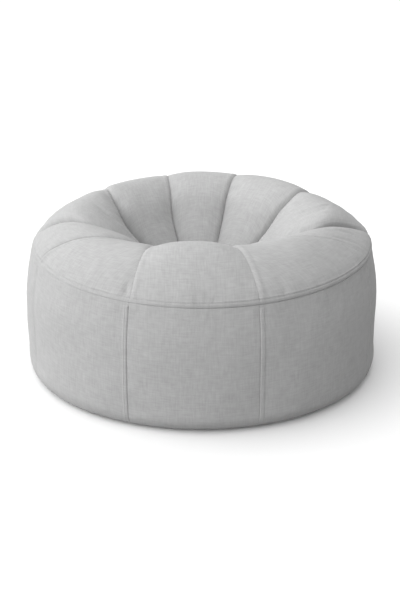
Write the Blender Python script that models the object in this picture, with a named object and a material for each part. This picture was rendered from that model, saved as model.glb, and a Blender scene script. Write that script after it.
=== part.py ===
"""A round filled pouf of woven cloth: ten crown gores, ten wall panels and a base.

The pouf stands on the floor at z = 0 with its middle on the Z axis, and its front faces -Y.
An azimuth is counted from the front (-Y) towards +X, in degrees.
"""

from dataclasses import astuple, dataclass, replace
from math import cos, pi, radians, sin

import bmesh
import bpy
import numpy as np
from mathutils import Vector

# Cloth of neighbouring pieces lies face to face with this gap.
SEAM_GAP = 0.0003

# The tips of gores and wall panels meet round a pinhole on the axis.
TIP_RADIUS = 0.006
TIP_HEIGHT = 0.060

# The flat round piece underneath, with the floor seam round it.
BASE_RADIUS = 0.415
BASE_THICKNESS = 0.003

# The outer double seam: where crown and wall meet.
RING_RADIUS = 0.4750
RING_HEIGHT = 0.3685
RING_FRONT_DROP = 0.034
RING_SIDE_DROP = 0.009

# A gore is a broad pillow, with a narrow fold on each side where its seam draws it in.
PILLOW_SHARE = 0.15
PILLOW_POWER = 2.0
FOLD_POWER = 7.0

# The wall panels swell a little between their seams.
WALL_SEAM_DEPTH = 0.004
WALL_SEAM_POWER = 4.0

# Sections across a piece, and points down its outline.
SECTIONS = 10
CROWN_POINTS = 18
WALL_POINTS = 11

CLOTH_COLOUR = (0.50, 0.50, 0.50, 1.0)
CLOTH_ROUGHNESS = 0.92


@dataclass(frozen=True)
class CrownStation:
    """A place on the crown's outline, from the outer seam over the crest into the hollow.

    front_drop lowers it at the front and side_drop at both sides. crest_fold and
    hollow_fold are the shares of a seam's two fold depths that draw the cloth in here.
    """

    radius: float
    height: float
    front_drop: float
    side_drop: float
    crest_fold: float
    hollow_fold: float


@dataclass(frozen=True)
class WallStation:
    """A place on the wall's outline, from the outer seam down to the floor.

    side_spread is how much wider it lies at the two sides than at the front and back.
    """

    radius: float
    height: float
    side_spread: float


@dataclass(frozen=True)
class Seam:
    """A seam of the crown: its azimuths at the outer seam and in the hollow.

    turned is the share of its length by which it has turned from one to the other.
    crest_fold and hollow_fold are how deep it draws the cloth in there, and puff is
    how much the gore that starts at this seam swells beyond the outline.
    """

    ring: float
    hollow: float
    turned: float
    crest_fold: float
    hollow_fold: float
    puff: float


CROWN_OUTLINE = (
    CrownStation(RING_RADIUS, RING_HEIGHT, RING_FRONT_DROP, RING_SIDE_DROP, 0.0, 0.0),
    CrownStation(0.4480, 0.4040, 0.021, 0.009, 0.6, 0.0),
    CrownStation(0.3495, 0.4620, 0.016, 0.013, 1.0, 0.1),
    CrownStation(0.2590, 0.4310, 0.0075, 0.006, 0.4, 0.8),
    CrownStation(0.1915, 0.3550, 0.0015, 0.001, 0.0, 1.0),
    CrownStation(0.0905, 0.2600, 0.000, 0.001, 0.0, 0.6),
    CrownStation(TIP_RADIUS, 0.2150, 0.000, 0.000, 0.0, 0.0),
)

WALL_OUTLINE = (
    WallStation(RING_RADIUS, RING_HEIGHT, 0.000),
    WallStation(0.4930, 0.2700, 0.003),
    WallStation(0.4990, 0.1600, 0.001),
    WallStation(0.4990, 0.0750, 0.001),
    WallStation(0.4950, 0.0320, 0.006),
    WallStation(0.4800, 0.0100, 0.014),
    WallStation(0.4450, 0.0000, 0.020),
)

SEAMS = (
    Seam(-22.0, -23.5, 0.40, 0.008, 0.026, 0.010),
    Seam(17.0, 15.5, 0.40, 0.008, 0.010, -0.011),
    Seam(67.5, 32.0, 0.50, 0.0065, 0.020, -0.012),
    Seam(92.0, 50.5, 0.60, 0.020, 0.026, -0.0045),
    Seam(128.4, 119.4, 0.50, 0.0055, 0.019, 0.007),
    Seam(161.5, 163.0, 0.40, 0.004, 0.0155, 0.0025),
    Seam(194.8, 204.3, 0.80, 0.0045, 0.026, -0.0045),
    Seam(225.0, 244.0, 0.60, 0.0045, 0.0295, -0.0045),
    Seam(267.0, 300.0, 0.65, 0.013, 0.030, -0.0045),
    Seam(294.0, 322.0, 0.50, 0.004, 0.022, -0.011),
)


def clear_scene() -> None:
    """Remove what the scene starts with."""
    for item in list(bpy.data.objects):
        bpy.data.objects.remove(item, do_unlink=True)


def radial(azimuth: float) -> Vector:
    """Return the level unit vector that points out at an azimuth in degrees."""
    angle = radians(azimuth)
    return Vector((sin(angle), -cos(angle), 0.0))


def sideways(azimuth: float) -> Vector:
    """Return the level unit vector of growing azimuth."""
    angle = radians(azimuth)
    return Vector((cos(angle), sin(angle), 0.0))


def front_share(azimuth: float) -> float:
    """Return 1 at the front, falling softly to 0 at the sides and behind."""
    return max(0.0, cos(radians(azimuth))) ** 1.4


def smooth_rows(rows: np.ndarray, count: int) -> np.ndarray:
    """Return points on a smooth curve through rows, whose first two columns are a place."""
    reach = np.concatenate([[0.0], np.cumsum(np.hypot(*np.diff(rows[:, :2], axis=0).T))])
    slopes = np.gradient(rows, reach, axis=0)
    places = np.linspace(0.0, reach[-1], count)
    spans = np.clip(np.searchsorted(reach, places, side="right") - 1, 0, len(rows) - 2)
    length = np.diff(reach)[spans][:, None]
    step = ((places - reach[spans]) / length[:, 0])[:, None]
    start = rows[spans] * (2 * step**3 - 3 * step**2 + 1)
    start += slopes[spans] * length * (step**3 - 2 * step**2 + step)
    end = rows[spans + 1] * (3 * step**2 - 2 * step**3)
    end += slopes[spans + 1] * length * (step**3 - step**2)
    return start + end


def outward_normals(outline: np.ndarray) -> np.ndarray:
    """Return the unit normals of an outline that runs inwards over the top."""
    tangents = np.gradient(outline[:, :2], axis=0)
    normals = np.column_stack([tangents[:, 1], -tangents[:, 0]])
    return normals / np.linalg.norm(normals, axis=1)[:, None]


def seam_azimuth(seam: Seam, run: float) -> float:
    """Return a crown seam's azimuth at a share of its length."""
    share = min(1.0, run / seam.turned)
    return seam.ring + (seam.hollow - seam.ring) * share * share * (3.0 - 2.0 * share)


def drawn_in(across: float, before: float, after: float) -> float:
    """Return how deep the two seams of a gore draw it in at a share of the way across."""
    pillow = before * (1.0 - across) ** PILLOW_POWER + after * across**PILLOW_POWER
    fold = before * (1.0 - across) ** FOLD_POWER + after * across**FOLD_POWER
    return PILLOW_SHARE * pillow + (1.0 - PILLOW_SHARE) * fold


def close_at_ends(sections: int) -> list[float]:
    """Return shares from 0 to 1 that lie closer together near both ends."""
    return [0.5 - 0.5 * cos(pi * index / sections) for index in range(sections + 1)]


def edge_shift(across: float, azimuth: float) -> Vector:
    """Return the half gap that keeps the two edges of a piece off its neighbours."""
    if across == 0.0:
        return sideways(azimuth) * SEAM_GAP / 2
    if across == 1.0:
        return sideways(azimuth) * -SEAM_GAP / 2
    return Vector((0.0, 0.0, 0.0))


def ring_height(azimuth: float) -> float:
    """Return the height of the outer double seam at an azimuth."""
    side_share = sin(radians(azimuth)) ** 2
    return RING_HEIGHT - RING_FRONT_DROP * front_share(azimuth) - RING_SIDE_DROP * side_share


def crown_section(before: Seam, after: Seam, across: float) -> list[Vector]:
    """Return one closed section of a gore: its outline and the low end of its tip."""
    outline = smooth_rows(np.array([astuple(station) for station in CROWN_OUTLINE]), CROWN_POINTS)
    normals = outward_normals(outline)
    ring_azimuth = before.ring + (after.ring - before.ring) * across
    points = []
    for index, (radius, height, front_drop, side_drop, crest, hollow) in enumerate(outline):
        run = index / (CROWN_POINTS - 1)
        first, last = seam_azimuth(before, run), seam_azimuth(after, run)
        azimuth = first + (last - first) * across
        depth_before = before.crest_fold * crest + before.hollow_fold * hollow
        depth_after = after.crest_fold * crest + after.hollow_fold * hollow
        offset = before.puff * sin(pi * run) * sin(pi * across)
        offset -= drawn_in(across, depth_before, depth_after)
        radius += normals[index, 0] * offset
        height += normals[index, 1] * offset - front_drop * front_share(azimuth)
        height -= side_drop * sin(radians(azimuth)) ** 2
        point = radial(azimuth) * radius + Vector((0.0, 0.0, height + SEAM_GAP / 2))
        points.append(point + edge_shift(across, azimuth))
    tip = radial(ring_azimuth) * TIP_RADIUS + Vector((0.0, 0.0, TIP_HEIGHT + SEAM_GAP / 2))
    points.append(tip + edge_shift(across, ring_azimuth))
    return points


def wall_section(start: float, end: float, across: float) -> list[Vector]:
    """Return one closed section of a wall panel, from the outer seam down and back inside."""
    azimuth = start + (end - start) * across
    outline = smooth_rows(np.array([astuple(station) for station in WALL_OUTLINE]), WALL_POINTS)
    seam_share = (1.0 - across) ** WALL_SEAM_POWER + across**WALL_SEAM_POWER
    side_share = sin(radians(azimuth)) ** 2
    stretch = ring_height(azimuth) / RING_HEIGHT
    profile = []
    for index, (radius, height, spread) in enumerate(outline):
        middle = sin(pi * index / (WALL_POINTS - 1))
        radius += spread * side_share - WALL_SEAM_DEPTH * seam_share * middle
        profile.append((radius, max(0.0, height * stretch - SEAM_GAP / 2 * (index == 0))))
    # The panel steps over the rim of the base and runs in above it.
    roof = BASE_THICKNESS + SEAM_GAP
    profile.append((BASE_RADIUS + SEAM_GAP, 0.0))
    profile.append((BASE_RADIUS + SEAM_GAP, roof))
    profile.append((TIP_RADIUS, roof))
    profile.append((TIP_RADIUS, TIP_HEIGHT - SEAM_GAP / 2))
    shift = edge_shift(across, azimuth)
    return [radial(azimuth) * radius + Vector((0.0, 0.0, height)) + shift for radius, height in profile]


def cloth_material(name: str) -> bpy.types.Material:
    """Return the light grey woven cloth, in its plain form."""
    material = bpy.data.materials.new(name)
    material.use_nodes = True
    shader = material.node_tree.nodes["Principled BSDF"]
    shader.inputs["Base Color"].default_value = CLOTH_COLOUR
    shader.inputs["Roughness"].default_value = CLOTH_ROUGHNESS
    shader.inputs["Metallic"].default_value = 0.0
    material.diffuse_color = CLOTH_COLOUR
    return material


def add_piece(name: str, bm: bmesh.types.BMesh, parent: bpy.types.Object) -> bpy.types.Object:
    """Turn a bmesh into a smooth-shaded object with its own cloth material."""
    bmesh.ops.recalc_face_normals(bm, faces=bm.faces)
    mesh = bpy.data.meshes.new(name)
    bm.to_mesh(mesh)
    bm.free()
    mesh.shade_smooth()
    mesh.set_sharp_from_angle(angle=radians(40.0))
    mesh.materials.append(cloth_material(f"{name} cloth"))
    piece = bpy.data.objects.new(name, mesh)
    piece.parent = parent
    bpy.context.scene.collection.objects.link(piece)
    return piece


def bridged_sections(sections: list[list[Vector]]) -> tuple[bmesh.types.BMesh, list]:
    """Join closed sections into one open-ended skin, and return it with its loops."""
    bm = bmesh.new()
    loops = [[bm.verts.new(point) for point in section] for section in sections]
    rings = [[bm.edges.new(pair) for pair in zip(loop, loop[1:] + loop[:1])] for loop in loops]
    for first, second in zip(rings, rings[1:]):
        bmesh.ops.bridge_loops(bm, edges=first + second)
    return bm, loops


def add_gore(number: int, before: Seam, after: Seam, parent: bpy.types.Object) -> None:
    """Build one gore between two seams of the crown."""
    shares = close_at_ends(SECTIONS)
    bm, loops = bridged_sections([crown_section(before, after, share) for share in shares])
    # Both sides of a seam are fanned from the tip alike, so their faces stay parallel.
    for loop in (loops[0], loops[-1]):
        tip = loop[-1]
        for first, second in zip(loop[:-1], loop[1:-1]):
            bm.faces.new((tip, first, second))
    add_piece(f"top_gore_{number}", bm, parent)


def add_wall(number: int, start: float, end: float, parent: bpy.types.Object) -> None:
    """Build one wall panel between two upright seams."""
    shares = close_at_ends(SECTIONS)
    bm, loops = bridged_sections([wall_section(start, end, share) for share in shares])
    for loop in (loops[0], loops[-1]):
        bm.faces.new(loop)
    add_piece(f"side_panel_{number}", bm, parent)


def add_base(spans: list[tuple[float, float]], parent: bpy.types.Object) -> None:
    """Build the flat round piece on the floor, with its corners in line with the wall's."""
    bm = bmesh.new()
    shares = close_at_ends(SECTIONS)[:-1]
    azimuths = [start + (end - start) * share for start, end in spans for share in shares]
    rim = [bm.verts.new(radial(azimuth) * BASE_RADIUS) for azimuth in azimuths]
    underside = bm.faces.new(rim)
    raised = bmesh.ops.extrude_face_region(bm, geom=[underside], use_keep_orig=True)
    corners = [item for item in raised["geom"] if isinstance(item, bmesh.types.BMVert)]
    bmesh.ops.translate(bm, verts=corners, vec=(0.0, 0.0, BASE_THICKNESS))
    add_piece("base_panel", bm, parent)


def main() -> None:
    """Build the pouf."""
    clear_scene()
    pouf = bpy.data.objects.new("pouf", None)
    bpy.context.scene.collection.objects.link(pouf)
    first = SEAMS[0]
    closing = replace(first, ring=first.ring + 360.0, hollow=first.hollow + 360.0)
    pairs = list(zip(SEAMS, SEAMS[1:] + (closing,)))
    for number, (before, after) in enumerate(pairs, start=1):
        add_gore(number, before, after, pouf)
        add_wall(number, before.ring, after.ring, pouf)
    add_base([(before.ring, after.ring) for before, after in pairs], pouf)


main()
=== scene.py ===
"""The looks of a round filled pouf: padded panels of woven cloth, their seams and thread.

The pouf stands at z = 0 with its middle on the Z axis, and its front faces -Y. An azimuth is
counted from the front (-Y) towards +X, in degrees. Lengths are in metres.
"""

import logging
from dataclasses import astuple, dataclass, replace
from enum import Enum
from math import pi, radians

import bmesh
import bpy
import numpy as np
from mathutils import Matrix, Vector, kdtree, noise
from numpy import ndarray

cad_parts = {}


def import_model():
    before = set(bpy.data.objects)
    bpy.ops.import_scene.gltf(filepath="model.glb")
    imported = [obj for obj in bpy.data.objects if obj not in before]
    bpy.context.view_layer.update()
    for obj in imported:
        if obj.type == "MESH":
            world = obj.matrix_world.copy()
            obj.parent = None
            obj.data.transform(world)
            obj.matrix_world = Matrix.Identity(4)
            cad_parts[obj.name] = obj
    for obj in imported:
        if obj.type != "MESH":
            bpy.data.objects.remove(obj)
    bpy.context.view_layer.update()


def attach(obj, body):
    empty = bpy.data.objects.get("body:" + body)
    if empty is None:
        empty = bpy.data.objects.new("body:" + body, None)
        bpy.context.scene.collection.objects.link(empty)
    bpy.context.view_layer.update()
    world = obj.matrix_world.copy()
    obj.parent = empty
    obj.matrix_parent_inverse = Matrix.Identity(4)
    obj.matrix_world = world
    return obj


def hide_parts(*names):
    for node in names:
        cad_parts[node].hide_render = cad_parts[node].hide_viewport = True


LOG = logging.getLogger("pouf")

Pair = tuple[ndarray, ndarray]
Place = tuple[float, float, float]

WEAVE_MAP = "weave"
BODY = "root"


@dataclass(frozen=True)
class CrownStation:
    """A place on the crown's outline, from the outer seam over the crest into the hollow.

    front_drop lowers it at the front and side_drop at both sides. crest_fold and
    hollow_fold are the shares of a seam's two fold depths that draw the cloth in here.
    """

    radius: float
    height: float
    front_drop: float
    side_drop: float
    crest_fold: float
    hollow_fold: float


@dataclass(frozen=True)
class WallStation:
    """A place on the wall's outline, from the outer seam down to the floor.

    side_spread is how much wider it lies at the two sides than at the front and back.
    """

    radius: float
    height: float
    side_spread: float


@dataclass(frozen=True)
class Seam:
    """A seam of the crown: its azimuths at the outer seam and in the hollow.

    turned is the share of its length by which it has turned from one to the other.
    crest_fold and hollow_fold are how deep it draws the cloth in there, and puff is
    how much the gore that starts at this seam swells beyond the outline. crest_tuck and
    hollow_tuck are how deep the narrow valley at the stitches is, and sharp is the share
    of the full groove that shows in the valley.
    """

    ring: float
    hollow: float
    turned: float
    crest_fold: float
    hollow_fold: float
    puff: float
    crest_tuck: float
    hollow_tuck: float
    sharp: float

    def azimuth(self, runs: ndarray) -> ndarray:
        """Return the seam's azimuth in degrees at shares of its length."""
        return self.ring + (self.hollow - self.ring) * softened(runs / self.turned)

    def lies_forward(self) -> bool:
        """Return whether the wall's allowance lies on the panel that starts here."""
        return (self.ring + 180.0) % 360.0 > 180.0


CROWN_OUTLINE = (
    CrownStation(0.4750, 0.3685, 0.034, 0.009, 0.0, 0.0),
    CrownStation(0.4480, 0.4040, 0.021, 0.009, 0.6, 0.0),
    CrownStation(0.3495, 0.4620, 0.016, 0.013, 1.0, 0.1),
    CrownStation(0.2590, 0.4310, 0.0075, 0.006, 0.4, 0.8),
    CrownStation(0.1915, 0.3550, 0.0015, 0.001, 0.0, 1.0),
    CrownStation(0.0905, 0.2600, 0.000, 0.001, 0.0, 0.6),
    CrownStation(0.0060, 0.2150, 0.000, 0.000, 0.0, 0.0),
)

WALL_OUTLINE = (
    WallStation(0.4750, 0.3685, 0.000),
    WallStation(0.4930, 0.2700, 0.003),
    WallStation(0.4990, 0.1600, 0.001),
    WallStation(0.4990, 0.0750, 0.001),
    WallStation(0.4950, 0.0320, 0.006),
    WallStation(0.4800, 0.0100, 0.014),
    WallStation(0.4450, 0.0000, 0.020),
)

SEAMS = (
    Seam(-22.0, -23.5, 0.40, 0.008, 0.026, 0.010, 0.001, 0.004, 0.10),
    Seam(17.0, 15.5, 0.40, 0.008, 0.010, -0.011, 0.000, 0.003, 0.05),
    Seam(67.5, 32.0, 0.50, 0.0065, 0.020, -0.012, -0.0015, -0.002, 0.05),
    Seam(92.0, 50.5, 0.60, 0.020, 0.026, -0.0045, 0.017, 0.024, 0.60),
    Seam(128.4, 119.4, 0.50, 0.0055, 0.019, 0.007, 0.005, 0.008, 0.60),
    Seam(161.5, 163.0, 0.40, 0.004, 0.0155, 0.0025, 0.0015, 0.007, 0.60),
    Seam(194.8, 204.3, 0.80, 0.0045, 0.026, -0.0045, 0.001, 0.003, 0.50),
    Seam(225.0, 244.0, 0.60, 0.0045, 0.0295, -0.0045, 0.007, 0.014, 0.60),
    Seam(267.0, 300.0, 0.65, 0.013, 0.030, -0.0045, 0.024, 0.034, 0.60),
    Seam(294.0, 322.0, 0.50, 0.004, 0.022, -0.011, 0.005, 0.005, 0.60),
)

NUMBERS = range(1, len(SEAMS) + 1)


class Side(Enum):
    """The two kinds of cloth panel in the cover."""

    CROWN = "crown"
    WALL = "wall"


def eased(knots: ndarray, values: ndarray, places: ndarray) -> ndarray:
    """Read a smooth curve through values at new places along its first axis.

    Args:
        knots: Rising places at which the values stand.
        values: One row of values for each knot.
        places: Where the curve is read.

    Returns:
        One row of values for each place.
    """
    slopes = np.gradient(values, knots, axis=0)
    spans = np.clip(np.searchsorted(knots, places, side="right") - 1, 0, len(knots) - 2)
    lengths = np.diff(knots)[spans]
    shape = (-1,) + (1,) * (values.ndim - 1)
    step = ((places - knots[spans]) / lengths).reshape(shape)
    length = lengths.reshape(shape)
    start = values[spans] * (2 * step**3 - 3 * step**2 + 1)
    start += slopes[spans] * length * (step**3 - 2 * step**2 + step)
    end = values[spans + 1] * (3 * step**2 - 2 * step**3)
    end += slopes[spans + 1] * length * (step**3 - step**2)
    return start + end


def softened(share: ndarray) -> ndarray:
    """Return a share that leaves 0 and reaches 1 softly."""
    held = np.clip(share, 0.0, 1.0)
    return held * held * (3.0 - 2.0 * held)


def reach_along(points: ndarray, axis: int) -> ndarray:
    """Return the length walked along an axis of a grid of points, from its start."""
    steps = np.linalg.norm(np.diff(points, axis=axis), axis=-1)
    walked = np.cumsum(steps, axis=axis)
    pad = [(0, 0)] * walked.ndim
    pad[axis] = (1, 0)
    return np.pad(walked, pad)


def read_line(reach: ndarray, values: ndarray, places: ndarray | float) -> ndarray:
    """Read rows of three numbers at lengths along a line."""
    return np.stack([np.interp(places, reach, values[:, axis]) for axis in range(3)], axis=-1)


def add_grid(bm: bmesh.types.BMesh, points: ndarray) -> list[tuple[int, int, int]]:
    """Add a grid of faces through places, and return each vertex with its row and column."""
    rows, columns = points.shape[:2]
    made = bmesh.ops.create_grid(bm, x_segments=columns - 1, y_segments=rows - 1, size=1.0)
    cells = []
    for vert in made["verts"]:
        row = round((vert.co.y + 1.0) / 2.0 * (rows - 1))
        column = round((vert.co.x + 1.0) / 2.0 * (columns - 1))
        vert.co = points[row, column]
        cells.append((vert.index, row, column))
    return cells


def places_of(mesh: bpy.types.Mesh) -> ndarray:
    """Return the places of a mesh's vertices, one row for each."""
    places = np.empty(len(mesh.vertices) * 3)
    mesh.vertices.foreach_get("co", places)
    return places.reshape(-1, 3)


def in_scene(name: str, data: bpy.types.ID) -> bpy.types.Object:
    """Put an object with this name and content into the scene."""
    made = bpy.data.objects.new(name, data)
    bpy.context.scene.collection.objects.link(made)
    return made


def finished(bm: bmesh.types.BMesh, name: str) -> bpy.types.Object:
    """Turn a mesh that is done into an object of the scene."""
    mesh = bpy.data.meshes.new(name)
    bm.to_mesh(mesh)
    bm.free()
    return in_scene(name, mesh)


@dataclass(frozen=True)
class Lay:
    """How a panel's cloth lies: a grid of places, and the way out of the filling at each."""

    points: ndarray
    outward: ndarray


@dataclass(frozen=True)
class SewnForm:
    """The form to which the cover is cut and sewn, before its cloth settles.

    Every panel has places by two shares: across, from its first seam to its next, and run,
    from the outer double seam inwards over the crest, or down the wall to the floor.
    """

    seam_gap: float = 0.0003
    base_radius: float = 0.415
    base_step: float = 0.0033
    pillow_share: float = 0.15
    pillow_power: float = 2.0
    fold_power: float = 7.0
    front_power: float = 1.4
    wall_seam_depth: float = 0.004
    wall_seam_power: float = 4.0
    ring_tilt: float = 24.0
    ring_blend: float = 0.03

    def seams_of(self, number: int) -> tuple[Seam, Seam]:
        """Return the two seams that border panel number 1 to 10."""
        before = SEAMS[number - 1]
        if number < len(SEAMS):
            return before, SEAMS[number]
        first = SEAMS[0]
        return before, replace(first, ring=first.ring + 360.0, hollow=first.hollow + 360.0)

    def ring_azimuth(self, number: int, across: ndarray | float) -> ndarray | float:
        """Return the azimuth in degrees at shares across a panel, at the outer seam."""
        before, after = self.seams_of(number)
        return before.ring + (after.ring - before.ring) * across

    def width_of(self, number: int) -> float:
        """Return a panel's width along the outer seam."""
        before, after = self.seams_of(number)
        return radians(after.ring - before.ring) * CROWN_OUTLINE[0].radius

    def length_of(self, side: Side) -> float:
        """Return a panel's length from the outer seam to its far end."""
        return reach_along(self.stations(side)[:, :2], 0)[-1]

    def stations(self, side: Side) -> ndarray:
        """Return the outline's stations as rows of numbers."""
        outline = CROWN_OUTLINE if side is Side.CROWN else WALL_OUTLINE
        return np.array([astuple(station) for station in outline])

    def outline(self, side: Side, runs: ndarray) -> Pair:
        """Return the outline's rows at each run, and their outward normals."""
        rows = self.stations(side)
        reach = reach_along(rows[:, :2], 0)
        drawn = eased(reach, rows, runs * reach[-1])
        tangents = np.gradient(drawn[:, :2], runs, axis=0)
        normals = np.column_stack([tangents[:, 1], -tangents[:, 0]])
        if side is Side.WALL:
            normals = -normals
        return drawn, normals / np.linalg.norm(normals, axis=1)[:, None]

    def front_share(self, azimuth: ndarray) -> ndarray:
        """Return 1 at the front, falling softly to 0 at the sides and behind."""
        return np.maximum(0.0, np.cos(azimuth)) ** self.front_power

    def drawn_in(self, across: ndarray, before: ndarray, after: ndarray) -> ndarray:
        """Return how deep the two seams of a gore draw it in, by row and column."""
        depths = 0.0
        for share, power in (
            (self.pillow_share, self.pillow_power),
            (1.0 - self.pillow_share, self.fold_power),
        ):
            depths = depths + share * np.outer(before, (1.0 - across) ** power)
            depths = depths + share * np.outer(after, across**power)
        return depths

    def crown(self, number: int, across: ndarray, runs: ndarray) -> Lay:
        """Lay a gore over the crest, down to the middle of the hollow."""
        before, after = self.seams_of(number)
        drawn, normals = self.outline(Side.CROWN, runs)
        radius, height, front_drop, side_drop, crest, hollow = drawn.T[..., None]
        first, last = before.azimuth(runs)[:, None], after.azimuth(runs)[:, None]
        azimuth = np.radians(first + (last - first) * across)
        offset = before.puff * np.outer(np.sin(pi * runs), np.sin(pi * across))
        offset -= self.drawn_in(
            across,
            before.crest_fold * crest + before.hollow_fold * hollow,
            after.crest_fold * crest + after.hollow_fold * hollow,
        )
        radius = radius + normals[:, :1] * offset
        height = height + normals[:, 1:] * offset
        height -= front_drop * self.front_share(azimuth)
        height -= side_drop * np.sin(azimuth) ** 2
        height += self.seam_gap / 2
        return self.placed(azimuth, radius, height, normals, runs)

    def wall(self, number: int, across: ndarray, runs: ndarray) -> Lay:
        """Lay a wall panel down to the floor."""
        drawn, normals = self.outline(Side.WALL, runs)
        radius, height, side_spread = drawn.T[..., None]
        angle = np.radians(self.ring_azimuth(number, across))
        azimuth = np.broadcast_to(angle, (len(runs), len(across)))
        seam_share = (1.0 - across) ** self.wall_seam_power + across**self.wall_seam_power
        radius = radius + side_spread * np.sin(azimuth) ** 2
        radius = radius - self.wall_seam_depth * np.outer(np.sin(pi * runs), seam_share)
        ring = CROWN_OUTLINE[0]
        drop = ring.front_drop * self.front_share(azimuth) + ring.side_drop * np.sin(azimuth) ** 2
        stretch = 1.0 - drop / ring.height
        height = np.maximum(0.0, height * stretch)
        height[0] -= self.seam_gap / 2
        return self.placed(azimuth, radius, height, normals, runs)

    def placed(
        self,
        azimuth: ndarray,
        radius: ndarray,
        height: ndarray,
        normals: ndarray,
        runs: ndarray,
    ) -> Lay:
        """Turn radii and heights into places, and outline normals into directions.

        Near the outer seam the directions of crown and wall turn to one common tilt, so
        that relief moves both their edges together.
        """
        tilt = radians(self.ring_tilt)
        blend = 1.0 - softened(runs / self.ring_blend)[:, None]
        shared = np.array([[np.cos(tilt), np.sin(tilt)]])
        mixed = normals * (1.0 - blend) + shared * blend
        mixed /= np.linalg.norm(mixed, axis=1)[:, None]
        level = np.broadcast_to(mixed[:, :1], azimuth.shape)
        rise = np.broadcast_to(mixed[:, 1:], azimuth.shape)
        sine, cosine = np.sin(azimuth), np.cos(azimuth)
        points = np.stack([radius * sine, -radius * cosine, height], axis=-1)
        side = np.stack([cosine, sine, np.zeros_like(sine)], axis=-1) * self.seam_gap / 2
        points[:, 0] += side[:, 0]
        points[:, -1] -= side[:, -1]
        outward = np.stack([level * sine, -level * cosine, rise], axis=-1)
        return Lay(points, outward)

    def lay(self, side: Side, number: int, across: ndarray, runs: ndarray) -> Lay:
        """Lay a panel of either kind.

        Args:
            side: The kind of panel.
            number: The panel's number.
            across: Shares from its first seam to its next.
            runs: Shares from the outer seam to its far end.

        Returns:
            The panel's places and outward directions, by run and across.
        """
        if side is Side.CROWN:
            return self.crown(number, across, runs)
        return self.wall(number, across, runs)


@dataclass(frozen=True)
class PanelMove:
    """How far settling moves a panel's cloth, on a coarse grid of shares."""

    across: ndarray
    runs: ndarray
    moves: ndarray

    def at(self, across: ndarray, runs: ndarray) -> ndarray:
        """Return the moves at finer shares, by run and across."""
        rows = eased(self.runs, self.moves, runs)
        return eased(self.across, rows.swapaxes(0, 1), across).swapaxes(0, 1)


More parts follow.
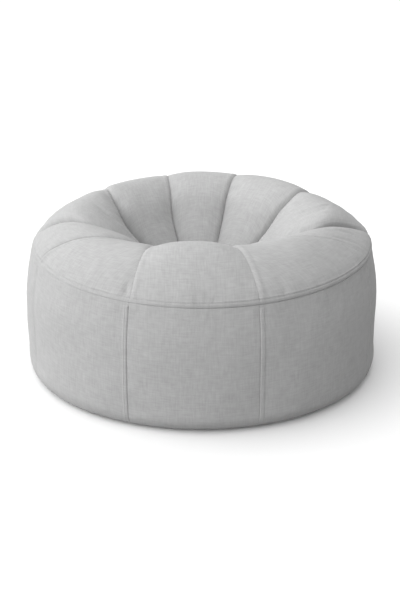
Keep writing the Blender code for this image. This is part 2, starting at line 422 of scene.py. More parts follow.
@dataclass(frozen=True)
class SettledCover:
    """The whole cover blown up softly by its filling in a cloth simulation.

    The seams are held where they are sewn. Between them the cloth has a little to spare, so
    that it swells and puckers.
    """

    form: SewnForm
    cell: float = 0.012
    crown_end: float = 0.84
    pressure: float = 4.0
    spare_cloth: float = 0.03
    last_frame: int = 20
    most_move: float = 0.006
    least_columns: int = 8
    crown_spare_reach: float = 0.08
    wall_spare_reach: float = 0.05

    def shares(self, side: Side, number: int) -> Pair:
        """Return the coarse shares across and along a panel."""
        columns = max(self.least_columns, round(self.form.width_of(number) / self.cell))
        end = self.crown_end if side is Side.CROWN else 1.0
        rows = round(self.form.length_of(side) * end / self.cell)
        return np.linspace(0.0, 1.0, columns + 1), np.linspace(0.0, end, rows + 1)

    def welded(self, grids: dict) -> bpy.types.Object:
        """Return the whole cover as one closed skin.

        Args:
            grids: The grid of places of each panel, by side and number.

        Returns:
            The object, which is removed again after the simulation.
        """
        bm = bmesh.new()
        for points in grids.values():
            add_grid(bm, points)
        bmesh.ops.remove_doubles(bm, verts=bm.verts, dist=2.0 * self.form.seam_gap)
        open_edges = [edge for edge in bm.edges if edge.is_boundary]
        bmesh.ops.holes_fill(bm, edges=open_edges, sides=0)
        bmesh.ops.recalc_face_normals(bm, faces=bm.faces)
        return finished(bm, "settling_cover")

    def hold_seams(self, cover: bpy.types.Object, grids: dict, index: dict) -> None:
        """Pin the seams and both ends, and mark where the cloth has some to spare."""
        pins = cover.vertex_groups.new(name="sewn")
        loose = cover.vertex_groups.new(name="spare")
        for key, places in index.items():
            sewn = np.concatenate([places[:, 0], places[:, -1], places[0], places[-1]])
            pins.add(sewn.tolist(), 1.0, "REPLACE")
            fades = self.crown_spare_reach if key[0] is Side.CROWN else self.wall_spare_reach
            near = np.exp(-reach_along(grids[key], 0) / fades)
            for place, share in zip(places.ravel().tolist(), near.ravel().tolist()):
                loose.add([place], share, "REPLACE")

    def settle(self) -> dict:
        """Run the simulation.

        Returns:
            The move of every panel's cloth, by side and number.
        """
        shares = {
            (side, number): self.shares(side, number) for side in Side for number in NUMBERS
        }
        grids = {
            key: self.form.lay(*key, across, runs).points for key, (across, runs) in shares.items()
        }
        moves = self.simulated(grids)
        return {key: self.ended(key[0], *shares[key], moves[key]) for key in grids}

    def simulated(self, grids: dict) -> dict:
        """Return how far the cloth simulation moves each panel's grid."""
        cover = self.welded(grids)
        rest = places_of(cover.data)
        tree = kdtree.KDTree(len(rest))
        for number, place in enumerate(rest):
            tree.insert(place, number)
        tree.balance()
        index = {
            key: np.array([tree.find(point)[1] for point in points.reshape(-1, 3)]).reshape(
                points.shape[:2]
            )
            for key, points in grids.items()
        }
        self.hold_seams(cover, grids, index)
        modifier = cover.modifiers.new("filling", "CLOTH")
        settings = {
            "quality": 5,
            "mass": 0.3,
            "tension_stiffness": 15.0,
            "compression_stiffness": 15.0,
            "shear_stiffness": 5.0,
            "bending_stiffness": 0.5,
            "use_pressure": True,
            "uniform_pressure_force": self.pressure,
            "vertex_group_mass": "sewn",
            "vertex_group_shrink": "spare",
            "shrink_min": 0.0,
            "shrink_max": -self.spare_cloth,
        }
        for name, value in settings.items():
            setattr(modifier.settings, name, value)
        modifier.settings.effector_weights.gravity = 0.0
        modifier.point_cache.frame_start = 1
        modifier.point_cache.frame_end = self.last_frame
        scene = bpy.context.scene
        for frame in range(1, self.last_frame + 1):
            scene.frame_set(frame)
        settled = cover.evaluated_get(bpy.context.evaluated_depsgraph_get()).data
        move = places_of(settled) - rest
        length = np.linalg.norm(move, axis=1, keepdims=True)
        LOG.info("settling moves the cloth %.1f mm at most", 1000 * length.max())
        capped = np.tanh(length / self.most_move) * self.most_move
        move *= capped / np.maximum(length, 1e-9)
        bpy.data.objects.remove(cover, do_unlink=True)
        scene.frame_set(1)
        return {key: move[places] for key, places in index.items()}

    def ended(self, side: Side, across: ndarray, runs: ndarray, moves: ndarray) -> PanelMove:
        """Return a panel's moves, brought to nothing at the middle of the hollow."""
        if side is Side.CROWN:
            runs = np.append(runs, 1.0)
            moves = np.concatenate([moves, np.zeros_like(moves[:1])])
        return PanelMove(across, runs, moves)


@dataclass(frozen=True)
class SeamRelief:
    """How a sewn seam stands out of the cloth on one side of it.

    groove is the dip at the stitch line and lap the rise of the folded allowance under the
    cloth. roll is how far the cloth swells out beside the seam before it turns in to it.
    least, level and gain say how tight the seam is drawn from the left to the right.
    """

    groove: float
    lap_rise: float
    lap_width: float
    groove_width: float = 0.0016
    lap: float = 0.0014
    stitch_dip: float = 0.0
    stitch_place: float = 0.0088
    roll: float = 0.0
    roll_reach: float = 0.022
    dip_width: float = 0.0014
    lap_fall: float = 0.0025
    least: float = 0.0
    level: float = 1.0
    gain: float = 0.0

    def tightness(self, azimuth: ndarray) -> ndarray:
        """Return how tight the seam is drawn at an azimuth in degrees: least at the left."""
        share = softened(self.level + self.gain * np.sin(np.radians(azimuth)))
        return self.least + (1.0 - self.least) * share

    def height(self, distance: ndarray, lapped: bool, sharp: float) -> ndarray:
        """Return the relief at a distance from the seam.

        Args:
            distance: Distance from the seam.
            lapped: Whether the allowance lies on this side.
            sharp: Share of the full groove.

        Returns:
            Heights of the same shape.
        """
        relief = -sharp * self.groove * np.exp(-((distance / self.groove_width) ** 2))
        if lapped:
            rising = softened(distance / self.lap_rise)
            falling = 1.0 - softened((distance - self.lap_width) / self.lap_fall)
            relief += self.lap * rising * falling
            dip = np.exp(-(((distance - self.stitch_place) / self.dip_width) ** 2))
            relief -= self.stitch_dip * dip
            near = distance / self.roll_reach
            relief += self.roll * near * np.exp(1.0 - near)
        return relief


RING_RELIEF = SeamRelief(
    groove=0.0010,
    lap=0.0016,
    lap_rise=0.0020,
    lap_width=0.0140,
    stitch_dip=0.0022,
    stitch_place=0.0115,
    dip_width=0.0019,
    roll=0.0075,
    least=0.25,
    level=0.5,
    gain=0.8,
)

WALL_RELIEF = SeamRelief(
    groove=0.0008,
    groove_width=0.0012,
    lap_rise=0.0022,
    lap_width=0.0105,
    stitch_dip=0.0003,
    level=2.4,
    gain=2.4,
)

CROWN_RELIEF = SeamRelief(groove=0.0016, lap_rise=0.0075, lap_width=0.0110, lap_fall=0.008)


@dataclass(frozen=True)
class Gathers:
    """Small puckers where the cloth is eased into the outer double seam, in patches."""

    spacing: float
    depth: float
    reach: float
    seed: float
    patch: float = 0.10
    least: float = 0.35
    patchiness: float = 1.5

    def height(self, along: ndarray, distance: ndarray) -> ndarray:
        """Return the puckers' relief.

        Args:
            along: Length along the seam of each column.
            distance: Distance from the seam, by row and column.

        Returns:
            Heights by row and column.
        """
        waves = [noise.noise(Vector((place / self.spacing, self.seed, 0.0))) for place in along]
        patches = [noise.noise(Vector((place / self.patch, self.seed, 7.0))) for place in along]
        tight = softened(0.5 + self.patchiness * np.array(patches))
        strength = self.least + (1.0 - self.least) * tight
        near = distance / self.reach
        return self.depth * np.array(waves) * strength * near * np.exp(1.0 - near)


@dataclass(frozen=True)
class Crease:
    """One soft fold in a panel's cloth.

    path is its course by shares across and along the panel. depth is how deep it is, and
    below zero for a ridge. width is its half width.
    """

    number: int
    path: tuple[tuple[float, float], ...]
    depth: float
    width: float
    steps: int = 24
    step_across: float = 0.01
    held_end: float = 0.02
    fade_power: float = 0.7

    def height(self, form: SewnForm, side: Side, points: ndarray) -> ndarray:
        """Return the crease's relief at a grid of places on its panel."""
        course = np.array(self.path)
        knots = np.linspace(0.0, 1.0, len(course))
        shares = np.linspace(0.0, 1.0, self.steps + 1)
        course = eased(knots, course, shares)
        near = np.array([0.0, self.step_across])
        line = np.array([
            form.lay(side, self.number, across + near, run + near).points[0, 0]
            for across, run in course
        ])
        apart = np.linalg.norm(points[:, :, None] - line[None, None], axis=-1)
        nearest = apart.argmin(axis=-1)
        held = np.clip(shares, self.held_end, 1.0 - self.held_end)
        faded = np.sin(pi * held) ** self.fade_power
        distance = apart.min(axis=-1)
        return -self.depth * faded[nearest] * np.exp(-((distance / self.width) ** 2))


CROWN_GATHERS = (Gathers(0.016, 0.0016, 0.012, 3.1), Gathers(0.034, 0.0030, 0.024, 8.7))
WALL_GATHERS = (Gathers(0.018, 0.0010, 0.010, 5.3), Gathers(0.040, 0.0020, 0.022, 1.9))

CROWN_CREASES = (
    # Two lines pulled beside the deep left valley.
    Crease(9, ((0.02, 0.130), (0.30, 0.200), (0.43, 0.270)), 0.0012, 0.004),
    Crease(9, ((0.14, 0.125), (0.41, 0.195), (0.58, 0.250)), 0.0012, 0.004),
    # Long folds that run down into the hollow at the back left.
    Crease(8, ((0.45, 0.330), (0.45, 0.440), (0.30, 0.540)), 0.0040, 0.010),
    Crease(8, ((0.35, 0.410), (0.13, 0.510), (0.03, 0.580)), 0.0030, 0.008),
    # A broad ridge with a valley beside it at the back right.
    Crease(4, ((0.64, 0.456), (0.55, 0.344), (0.45, 0.175)), -0.0030, 0.010),
    Crease(4, ((0.50, 0.450), (0.42, 0.340), (0.33, 0.190)), 0.0025, 0.010),
    # A fan of folds that meet at the right end of the outer seam.
    Crease(3, ((0.47, 0.200), (0.47, 0.130), (0.31, 0.035)), 0.0030, 0.007),
    Crease(3, ((0.13, 0.190), (0.14, 0.120), (0.13, 0.035)), 0.0025, 0.006),
    Crease(3, ((0.68, 0.150), (0.55, 0.095), (0.49, 0.040)), 0.0030, 0.006),
    Crease(2, ((0.97, 0.130), (0.96, 0.080), (0.98, 0.030)), 0.0020, 0.005),
    # A faint line below the left seam of the front.
    Crease(10, ((0.07, 0.113), (0.20, 0.188), (0.28, 0.263)), 0.0012, 0.004),
    # Short puckers at the outer seam.
    Crease(1, ((0.52, 0.012), (0.52, 0.045)), 0.0018, 0.003),
    Crease(1, ((0.59, 0.012), (0.60, 0.050)), 0.0018, 0.003),
    Crease(1, ((0.65, 0.012), (0.66, 0.040)), 0.0018, 0.003),
    Crease(2, ((0.16, 0.012), (0.17, 0.040)), 0.0024, 0.004),
    Crease(10, ((0.97, 0.020), (0.95, 0.070)), 0.0030, 0.006),
)

WALL_CREASES = (Crease(1, ((0.55, 0.020), (0.56, 0.090)), 0.0015, 0.004),)


@dataclass
class ClothPanel:
    """One padded panel of the cover: a gore of the crown or a panel of the wall."""

    side: Side
    number: int
    form: SewnForm
    move: PanelMove
    cell: float = 0.005
    fine_steps: tuple[float, ...] = (
        0.001, 0.002, 0.0032, 0.0045, 0.006, 0.0075, 0.009, 0.0103, 0.0115, 0.0127, 0.0142, 0.017
    )
    tip_height: float = 0.060
    tip_reach: float = 0.001
    ring_clearance: float = 0.006
    near_tuck: float = 0.040
    far_tuck: float = 0.0085
    foot_fade: float = 0.05
    unsewn_part: int = 12
    lump_sizes: tuple[tuple[float, float], ...] = ((0.13, 0.0030), (0.055, 0.0010))

    def __post_init__(self) -> None:
        """Lay the panel's cloth and work its relief into it."""
        across = self.graded(self.form.width_of(self.number), both_ends=True)
        runs = self.graded(self.form.length_of(self.side), both_ends=False)
        lay = self.form.lay(self.side, self.number, across, runs)
        points = lay.points + self.move.at(across, runs)
        self.from_ring = reach_along(points, 0)
        self.from_before = reach_along(points, 1)
        self.from_after = self.from_before[:, -1:] - self.from_before
        middle = self.from_before - self.from_before[:, -1:] / 2
        self.pattern = np.stack([middle, self.from_ring], axis=-1)
        relief = self.seam_relief(across, runs) + self.puckers(across)
        relief += self.lumps(points) + self.creases(points)
        if self.side is Side.WALL:
            relief *= softened(points[..., 2] / self.foot_fade)
        self.outward = lay.outward
        self.points = points + lay.outward * relief[..., None]
        self.points[..., 2] = np.maximum(self.points[..., 2], 0.0)

    def graded(self, length: float, both_ends: bool) -> ndarray:
        """Return shares that are closest together next to a seam."""
        fine = np.array((0.0,) + self.fine_steps)
        far = length - fine[-1] if both_ends else length
        count = round((far - fine[-1]) / self.cell)
        middle = np.linspace(fine[-1], far, count + 1)[1:]
        places = np.concatenate([fine, middle])
        if both_ends:
            places = np.concatenate([places, (length - fine)[::-1][1:]])
        return places / length

    def seam_relief(self, across: ndarray, runs: ndarray) -> ndarray:
        """Return the relief of the seams round the panel."""
        crown = self.side is Side.CROWN
        own = CROWN_RELIEF if crown else WALL_RELIEF
        *_, crest, hollow = self.form.outline(self.side, runs)[0].T[..., None]
        before, after = self.form.seams_of(self.number)
        relief = RING_RELIEF.height(self.from_ring, crown, 1.0)
        relief *= RING_RELIEF.tightness(self.form.ring_azimuth(self.number, across))
        near_ring = softened((self.from_ring - self.ring_clearance) / self.ring_clearance)
        for seam, distance, opposite, starts in (
            (before, self.from_before, self.from_after, True),
            (after, self.from_after, self.from_before, False),
        ):
            lapped = starts if crown else seam.lies_forward() == starts
            shown = near_ring * own.tightness(seam.ring)
            relief += own.height(distance, lapped, seam.sharp if crown else 1.0) * shown
            if crown:
                depth = seam.crest_tuck * crest + seam.hollow_tuck * hollow
                if starts != seam.lies_forward():
                    tucked = np.exp(-((distance / self.near_tuck) ** 2))
                else:
                    tucked = np.exp(-distance / self.far_tuck)
                relief -= depth * softened(opposite / self.near_tuck) * tucked
        return relief

    def puckers(self, across: ndarray) -> ndarray:
        """Return the small gathers along the outer seam."""
        azimuth = np.radians(self.form.ring_azimuth(self.number, across))
        along = azimuth * CROWN_OUTLINE[0].radius
        kinds = CROWN_GATHERS if self.side is Side.CROWN else WALL_GATHERS
        return sum(kind.height(along, self.from_ring) for kind in kinds)

    def creases(self, points: ndarray) -> ndarray:
        """Return the relief of the folds laid in this panel."""
        folds = CROWN_CREASES if self.side is Side.CROWN else WALL_CREASES
        relief = np.zeros(points.shape[:2])
        for fold in folds:
            if fold.number == self.number:
                relief += fold.height(self.form, self.side, points)
        return relief

    def lumps(self, points: ndarray) -> ndarray:
        """Return the slight unevenness of the filling under the cloth."""
        total = np.zeros(points.shape[:2])
        for spacing, height in self.lump_sizes:
            swell = [noise.noise(Vector(point) / spacing) for point in points.reshape(-1, 3)]
            total += height * np.reshape(swell, total.shape)
        return total

    def ring_row(self, distance: float) -> Pair:
        """Return places and outward directions in a row beside the outer seam."""
        turned = (self.points.swapaxes(0, 1), self.outward.swapaxes(0, 1))
        return self.row(self.from_ring.T, *turned, distance)

    def seam_row(self, distance: float, starts: bool) -> Pair:
        """Return the same for a row beside the seam where the panel starts or ends.

        The row leaves out the same part of the seam at both its ends.
        """
        end = len(self.points) // self.unsewn_part
        rows = slice(end, -end)
        if starts:
            return self.row(self.from_before[rows], self.points[rows], self.outward[rows], distance)
        mirrored = (self.from_after, self.points, self.outward)
        return self.row(*(part[rows, ::-1] for part in mirrored), distance)

    def row(self, walked: ndarray, points: ndarray, outward: ndarray, distance: float) -> Pair:
        """Read each line of a grid at one distance along it."""
        places = [read_line(*line, distance) for line in zip(walked, points)]
        directions = [read_line(*line, distance) for line in zip(walked, outward)]
        return np.array(places), np.array(directions)

    def build(self) -> bpy.types.Object:
        """Build the panel as a closed padded piece."""
        points, flat = self.points, self.pattern
        if self.side is Side.WALL:
            points, flat = self.stepped(points, flat)
        bm = bmesh.new()
        pattern = np.zeros((flat.shape[0] * flat.shape[1], 2))
        for place, row, column in add_grid(bm, points):
            pattern[place] = flat[row, column]
        rim = [edge for edge in bm.edges if edge.is_boundary]
        for edge in rim:
            edge.smooth = False
        walls = bmesh.ops.extrude_edge_only(bm, edges=rim)
        inner = [item for item in walls["geom"] if isinstance(item, bmesh.types.BMVert)]
        bmesh.ops.pointmerge(bm, verts=inner, merge_co=self.tip())
        bmesh.ops.recalc_face_normals(bm, faces=bm.faces)
        for face in bm.faces:
            face.smooth = True
        panel = finished(bm, f"{self.side.value}_cloth_{self.number}")
        self.draw_pattern(panel.data, pattern)
        return panel

    def stepped(self, points: ndarray, flat: ndarray) -> Pair:
        """Run the wall's foot in along the floor and up over the rim of the base."""
        reach = np.linalg.norm(points[-1, :, :2], axis=1, keepdims=True)
        edge = points[-1].copy()
        edge[:, :2] *= (self.form.base_radius + self.form.seam_gap) / reach
        raised = edge.copy()
        raised[:, 2] = self.form.base_step
        inwards = np.linalg.norm(edge - points[-1], axis=1)[:, None] * np.array([0.0, 1.0])
        rise = inwards + np.array([0.0, self.form.base_step])
        points = np.concatenate([points, edge[None], raised[None]])
        return points, np.concatenate([flat, flat[-1:] + inwards, flat[-1:] + rise])

    def tip(self) -> Vector:
        """Return the panel's inner end, near the axis."""
        middle = radians(self.form.ring_azimuth(self.number, 0.5))
        rise = 0.5 if self.side is Side.CROWN else -0.5
        height = self.tip_height + rise * self.form.seam_gap
        reach = self.tip_reach
        return Vector((reach * np.sin(middle), -reach * np.cos(middle), height))

    def draw_pattern(self, mesh: bpy.types.Mesh, pattern: ndarray) -> None:
        """Give the mesh its cutting pattern in metres as a UV map."""
        corners = np.empty(len(mesh.loops), dtype=np.int32)
        mesh.loops.foreach_get("vertex_index", corners)
        places = np.zeros((len(mesh.vertices), 2))
        places[: len(pattern)] = pattern
        layer = mesh.uv_layers.new(name=WEAVE_MAP)
        layer.uv.foreach_set("vector", places[corners].ravel())


@dataclass(frozen=True)
class Topstitch:
    """A row of thread stitches, each a small spindle pressed into the cloth."""

    pitch: float = 0.0068
    length: float = 0.0054
    thickness: float = 0.0011
    height: float = 0.0002

    def sew(self, bm: bmesh.types.BMesh, places: ndarray, outward: ndarray) -> int:
        """Sew one row along a line of places.

        Args:
            bm: The mesh that gets the stitches.
            places: The line that the row follows.
            outward: The way out of the cloth at each place.

        Returns:
            The number of stitches.
        """
        reach = reach_along(places, 0)
        count = int(reach[-1] / self.pitch)
        middles = (np.arange(count) + 0.5) * reach[-1] / count
        ends = [read_line(reach, places, middles + sign * self.length / 2) for sign in (-1, 1)]
        out = read_line(reach, outward, middles)
        for start, end, up in zip(*ends, out):
            along = Vector(end - start).normalized()
            side = along.cross(Vector(up)).normalized()
            rise = side.cross(along)
            centre = Vector((start + end) / 2) + rise * self.height
            turn = Matrix((along, side, rise)).transposed().to_4x4()
            size = Matrix.Diagonal((self.length / 2, self.thickness / 2, self.thickness / 2, 1.0))
            place = Matrix.Translation(centre) @ turn @ size
            bmesh.ops.create_uvsphere(bm, u_segments=6, v_segments=4, radius=1.0, matrix=place)
        return count

    def piece(self, name: str, rows: list[Pair]) -> bpy.types.Object:
        """Build one piece of thread from several rows of stitches."""
        bm = bmesh.new()
        count = sum(self.sew(bm, *row) for row in rows)
        for face in bm.faces:
            face.smooth = True
        LOG.info("%s: %d stitches", name, count)
        return finished(bm, name)


@dataclass(frozen=True)
class Signal:
    """A shader socket on which Python arithmetic adds Math nodes."""

    bench: "NodeBench"
    socket: bpy.types.NodeSocket

    def __add__(self, other: object) -> "Signal":
        """Return the sum."""
        return self.bench.maths("ADD", self, other)

    def __radd__(self, other: object) -> "Signal":
        """Return the sum, from the other side."""
        return self.bench.maths("ADD", other, self)

    def __sub__(self, other: object) -> "Signal":
        """Return the difference."""
        return self.bench.maths("SUBTRACT", self, other)

    def __rsub__(self, other: object) -> "Signal":
        """Return the difference, from the other side."""
        return self.bench.maths("SUBTRACT", other, self)

    def __mul__(self, other: object) -> "Signal":
        """Return the product."""
        return self.bench.maths("MULTIPLY", self, other)

    def __rmul__(self, other: object) -> "Signal":
        """Return the product, from the other side."""
        return self.bench.maths("MULTIPLY", other, self)


class NodeBench:
    """Makes the nodes of one material."""

    def __init__(self, name: str, tree: bpy.types.NodeTree | None = None) -> None:
        """Start a material of this name with its main shader, or work in a given tree."""
        self.tree = tree
        if tree is None:
            self.material = bpy.data.materials.new(name)
            self.material.use_nodes = True
            self.tree = self.material.node_tree
            self.shader = self.tree.nodes["Principled BSDF"]

    def make(self, kind: str, settings: dict, inputs: dict) -> bpy.types.Node:
        """Make one node.

        Args:
            kind: The node's type.
            settings: Its settings, which are set first.
            inputs: The values or links of its sockets.

        Returns:
            The node.
        """
        node = self.tree.nodes.new(kind)
        for name, value in settings.items():
            setattr(node, name, value)
        self.feed(node, inputs)
        return node

    def feed(self, node: bpy.types.Node, inputs: dict) -> None:
        """Set or link sockets of a node."""
        for name, value in inputs.items():
            if isinstance(value, Signal):
                value = value.socket
            if isinstance(value, bpy.types.NodeSocket):
                self.tree.links.new(value, node.inputs[name])
            else:
                node.inputs[name].default_value = value

    def maths(self, operation: str, *values: object) -> Signal:
        """Return the result of a Math node on these values."""
        inputs = dict(enumerate(values))
        return Signal(self, self.make("ShaderNodeMath", {"operation": operation}, inputs).outputs[0])

    def noise(self, place: bpy.types.NodeSocket, scale: Place, detail: float) -> Signal:
        """Return noise whose grain has its own size in each direction."""
        mapping = self.make("ShaderNodeMapping", {}, {"Vector": place, "Scale": scale})
        node = self.make(
            "ShaderNodeTexNoise",
            {"noise_dimensions": "3D"},
            {"Vector": mapping.outputs[0], "Scale": 1.0, "Detail": detail, "Roughness": 0.55},
        )
        return Signal(self, node.outputs[0])

    def blend(self, share: object, dark: float, light: float) -> bpy.types.NodeSocket:
        """Return a grey between a dark and a light one, by a share."""
        inputs = {0: share, 6: grey(dark), 7: grey(light)}
        settings = {"data_type": "RGBA", "clamp_factor": True}
        return self.make("ShaderNodeMix", settings, inputs).outputs[2]


def grey(tone: float) -> tuple[float, float, float, float]:
    """Return the plain grey of this tone."""
    return (tone, tone, tone, 1.0)


@dataclass(frozen=True)
class WovenCloth:
    """Heathered linen-look cloth of light grey yarn, plainly woven.

    slub_fine and slub_long are how often uneven yarn changes across and along itself, and
    cloud how often the heather does, in each metre. Their shares say how much each shows.
    A small part of the tone is painted shade of the weave: lighter where the yarns rise and
    darker where they sink.
    """

    light: float = 0.41
    dark: float = 0.30
    yarn: float = 0.0016
    roughness: float = 0.86
    bump: float = 0.00035
    slub_fine: float = 280.0
    slub_long: float = 28.0
    slub_share: float = 0.42
    cloud: float = 50.0
    cloud_share: float = 0.26
    middle: float = 0.55
    contrast: float = 2.3
    # Painted shade of the weave: lighter where the yarns rise, darker where they sink.
    crossing_shade: float = 0.04

    def material(self) -> bpy.types.Material:
        """Build the cloth's material."""
        bench = NodeBench("woven_cloth")
        cut = bench.make("ShaderNodeUVMap", {"uv_map": WEAVE_MAP}, {}).outputs[0]
        parts = bench.make("ShaderNodeSeparateXYZ", {}, {"Vector": cut})
        warp, weft = (
            bench.maths("SINE", Signal(bench, parts.outputs[axis]) * (pi / self.yarn))
            for axis in (0, 1)
        )
        slub_up = bench.noise(cut, (self.slub_fine, self.slub_long, 1.0), 2.0)
        slub_side = bench.noise(cut, (self.slub_long, self.slub_fine, 1.0), 2.0)
        cloud = bench.noise(cut, (self.cloud, self.cloud, 1.0), 3.0)
        tone = self.slub_share * slub_up + self.slub_share * slub_side + self.cloud_share * cloud
        # Painted shade: the weave's height lightens raised yarn and darkens sunken yarn in the tone.
        tone = (tone - self.middle) * self.contrast + 0.5 + warp * weft * self.crossing_shade
        ridges = bench.maths("MAXIMUM", bench.maths("ABSOLUTE", warp), bench.maths("ABSOLUTE", weft))
        height = ridges * 0.5 + slub_up * 0.6 + slub_side * 0.6 + cloud * 0.5
        bump = bench.make(
            "ShaderNodeBump", {}, {"Strength": 0.6, "Distance": self.bump, "Height": height}
        )
        bench.feed(
            bench.shader,
            {
                "Base Color": bench.blend(tone, self.dark, self.light),
                "Roughness": self.roughness + slub_side * 0.1,
                "Normal": bump.outputs[0],
                "Sheen Weight": 0.12,
                "Sheen Roughness": 0.5,
                "Specular IOR Level": 0.25,
            },
        )
        bench.material.diffuse_color = grey(self.light)
        return bench.material


@dataclass(frozen=True)
class SewingThread:
    """Matt grey thread of the cloth's own tone."""

    tone: float = 0.37
    shade: float = 0.8
    twist: float = 900.0

    def material(self) -> bpy.types.Material:
        """Build the thread's material."""
        bench = NodeBench("sewing_thread")
        place = bench.make("ShaderNodeTexCoord", {}, {}).outputs["Object"]
        twist = bench.noise(place, (self.twist, self.twist, self.twist), 2.0)
        colour = bench.blend(twist, self.shade * self.tone, self.tone)
        bench.feed(
            bench.shader,
            {"Base Color": colour, "Roughness": 0.6 + 0.2 * twist, "Sheen Weight": 0.1},
        )
        bench.material.diffuse_color = grey(self.tone)
        return bench.material


@dataclass
class BaseCloth:
    """The round cloth underneath, with a turned-in rim."""

    radius: float = SewnForm.base_radius
    thickness: float = 0.003
    rim: float = 0.0012
    bands: tuple[float, ...] = (0.008, 0.10, 0.10, 0.10)
    nearly: float = 1e-4

    def build(self) -> bpy.types.Object:
        """Build the disc on the floor."""
        bm = bmesh.new()
        bmesh.ops.create_circle(bm, cap_ends=True, radius=self.radius, segments=160)
        for width in self.bands:
            outer = [face for face in bm.faces if len(face.verts) > 4]
            bmesh.ops.inset_region(bm, faces=outer, thickness=width)
        raised = bmesh.ops.extrude_face_region(bm, geom=bm.faces[:], use_keep_orig=True)
        top = [item for item in raised["geom"] if isinstance(item, bmesh.types.BMVert)]
        bmesh.ops.translate(bm, verts=top, vec=(0.0, 0.0, self.thickness))
        outside = self.radius - self.nearly
        rims = [
            edge
            for edge in bm.edges
            if abs(edge.verts[0].co.z - edge.verts[1].co.z) < self.nearly
            and all(vert.co.xy.length > outside for vert in edge.verts)
        ]
        bmesh.ops.bevel(
            bm, geom=rims, offset=self.rim, segments=3, profile=0.5, affect="EDGES", material=-1
        )
        bmesh.ops.recalc_face_normals(bm, faces=bm.faces)
        pattern_map = bm.loops.layers.uv.new(WEAVE_MAP)
        for face in bm.faces:
            face.smooth = True
            for loop in face.loops:
                loop[pattern_map].uv = loop.vert.co.xy
        base = finished(bm, "base_cloth")
        base.data.set_sharp_from_angle(angle=radians(50.0))
        return base


@dataclass(frozen=True)
class SkyGlow:
    """A soft glow of the studio round one direction."""

    towards: Place
    strength: float
    focus: float


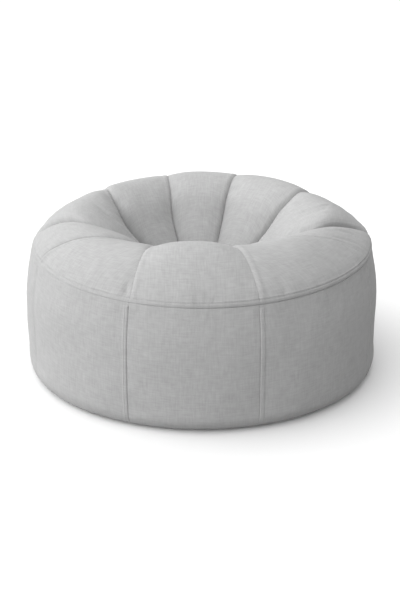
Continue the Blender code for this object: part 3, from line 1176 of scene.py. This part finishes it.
@dataclass
class Studio:
    """The pale floor, the soft lights and the camera."""

    floor_size: float = 60.0
    floor_tone: float = 0.85
    floor_bounce: float = 0.35
    camera_place: Place = (-0.0045, -2.6575, 1.2147)
    camera_aim: Place = (-0.0045, 0.0, 0.170)
    lens: float = 58.9
    glows: tuple[SkyGlow, ...] = (
        SkyGlow((-1.0, 0.0, 0.0), 3.05, 3.0),
        SkyGlow((0.0, -1.0, 0.0), 0.94, 1.0),
        SkyGlow((-0.5, 0.0, 0.866), 0.42, 6.0),
    )
    key_place: Place = (0.94, 1.63, 3.78)
    key_aim: Place = (0.0, 0.0, 0.25)
    key_size: float = 2.4
    key_power: float = 36.0

    def build(self) -> None:
        """Set up the studio."""
        self.add_floor()
        self.add_sky()
        self.add_key()
        self.add_camera()

    def add_floor(self) -> None:
        """Add the plain pale floor."""
        bm = bmesh.new()
        bmesh.ops.create_grid(bm, x_segments=1, y_segments=1, size=self.floor_size / 2)
        floor = finished(bm, "floor")
        bench = NodeBench("pale_floor")
        seen = bench.make("ShaderNodeLightPath", {}, {}).outputs["Is Camera Ray"]
        colour = bench.blend(seen, self.floor_bounce, self.floor_tone)
        bench.feed(
            bench.shader, {"Base Color": colour, "Roughness": 0.8, "Specular IOR Level": 0.2}
        )
        floor.data.materials.append(bench.material)

    def add_sky(self) -> None:
        """Light the scene softly from all round, most from the left."""
        world = bpy.data.worlds.new("studio")
        world.use_nodes = True
        bench = NodeBench("sky", world.node_tree)
        place = bench.make("ShaderNodeTexCoord", {}, {}).outputs["Generated"]
        total = None
        for glow in self.glows:
            facing = bench.make(
                "ShaderNodeVectorMath", {"operation": "DOT_PRODUCT"}, {0: place, 1: glow.towards}
            )
            near = Signal(bench, facing.outputs["Value"]) * 0.5 + 0.5
            part = bench.maths("POWER", near, glow.focus) * glow.strength
            total = part if total is None else total + part
        backdrop = world.node_tree.nodes["Background"]
        bench.feed(backdrop, {"Color": (1.0, 1.0, 1.0, 1.0), "Strength": total})
        bpy.context.scene.world = world

    def add_key(self) -> None:
        """Add the large soft light, high at the back right."""
        light = bpy.data.lights.new("key", "AREA")
        light.size = self.key_size
        light.energy = self.key_power
        self.aimed(in_scene("key", light), self.key_place, self.key_aim)

    def add_camera(self) -> None:
        """Add the camera at the photograph's angle."""
        camera = in_scene("camera", bpy.data.cameras.new("camera"))
        camera.data.lens = self.lens
        self.aimed(camera, self.camera_place, self.camera_aim)
        bpy.context.scene.camera = camera

    def aimed(self, item: bpy.types.Object, place: Place, aim: Place) -> None:
        """Put a lamp or camera at a place, looking at its aim."""
        item.location = place
        view = Vector(aim) - Vector(place)
        item.rotation_euler = view.to_track_quat("-Z", "Y").to_euler()


def fit(piece: bpy.types.Object, material: bpy.types.Material, *nodes: str) -> None:
    """Dress a padded piece and give it the place of its CAD nodes."""
    piece.data.materials.append(material)
    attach(piece, BODY)
    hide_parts(*nodes)
    LOG.info("%s: %d faces", piece.name, len(piece.data.polygons))


def sewn_threads(panels: dict) -> list[bpy.types.Object]:
    """Sew the rows of topstitching on the outer seam and the upright seams.

    Args:
        panels: The cover's panels by side and number.

    Returns:
        The pieces of thread.
    """
    stitch = Topstitch()
    around = [panels[Side.CROWN, number].ring_row(RING_RELIEF.stitch_place) for number in NUMBERS]
    ring = tuple(np.concatenate(parts) for parts in zip(*around))
    upright = []
    for number, seam in zip(NUMBERS, SEAMS):
        starts = seam.lies_forward()
        panel = panels[Side.WALL, number if starts else (number - 2) % len(SEAMS) + 1]
        upright.append(panel.seam_row(WALL_RELIEF.stitch_place, starts))
    return [stitch.piece("ring_topstitch", [ring]), stitch.piece("wall_topstitch", upright)]


def main() -> None:
    """Build the pouf's looks on its CAD frame, and the studio round it."""
    logging.basicConfig(level=logging.INFO, format="%(name)s: %(message)s")
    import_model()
    bpy.context.scene.view_settings.view_transform = "Standard"
    form = SewnForm()
    moves = SettledCover(form).settle()
    panels = {key: ClothPanel(*key, form, move) for key, move in moves.items()}
    cloth = WovenCloth().material()
    cad_names = {Side.CROWN: "top_gore", Side.WALL: "side_panel"}
    for (side, number), panel in panels.items():
        piece = panel.build()
        fit(piece, cloth, f"{cad_names[side]}_{number}")
    fit(BaseCloth().build(), cloth, "base_panel")
    thread = SewingThread().material()
    for piece in sewn_threads(panels):
        piece.data.materials.append(thread)
        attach(piece, BODY)
    Studio().build()


if __name__ == "__main__":
    main()
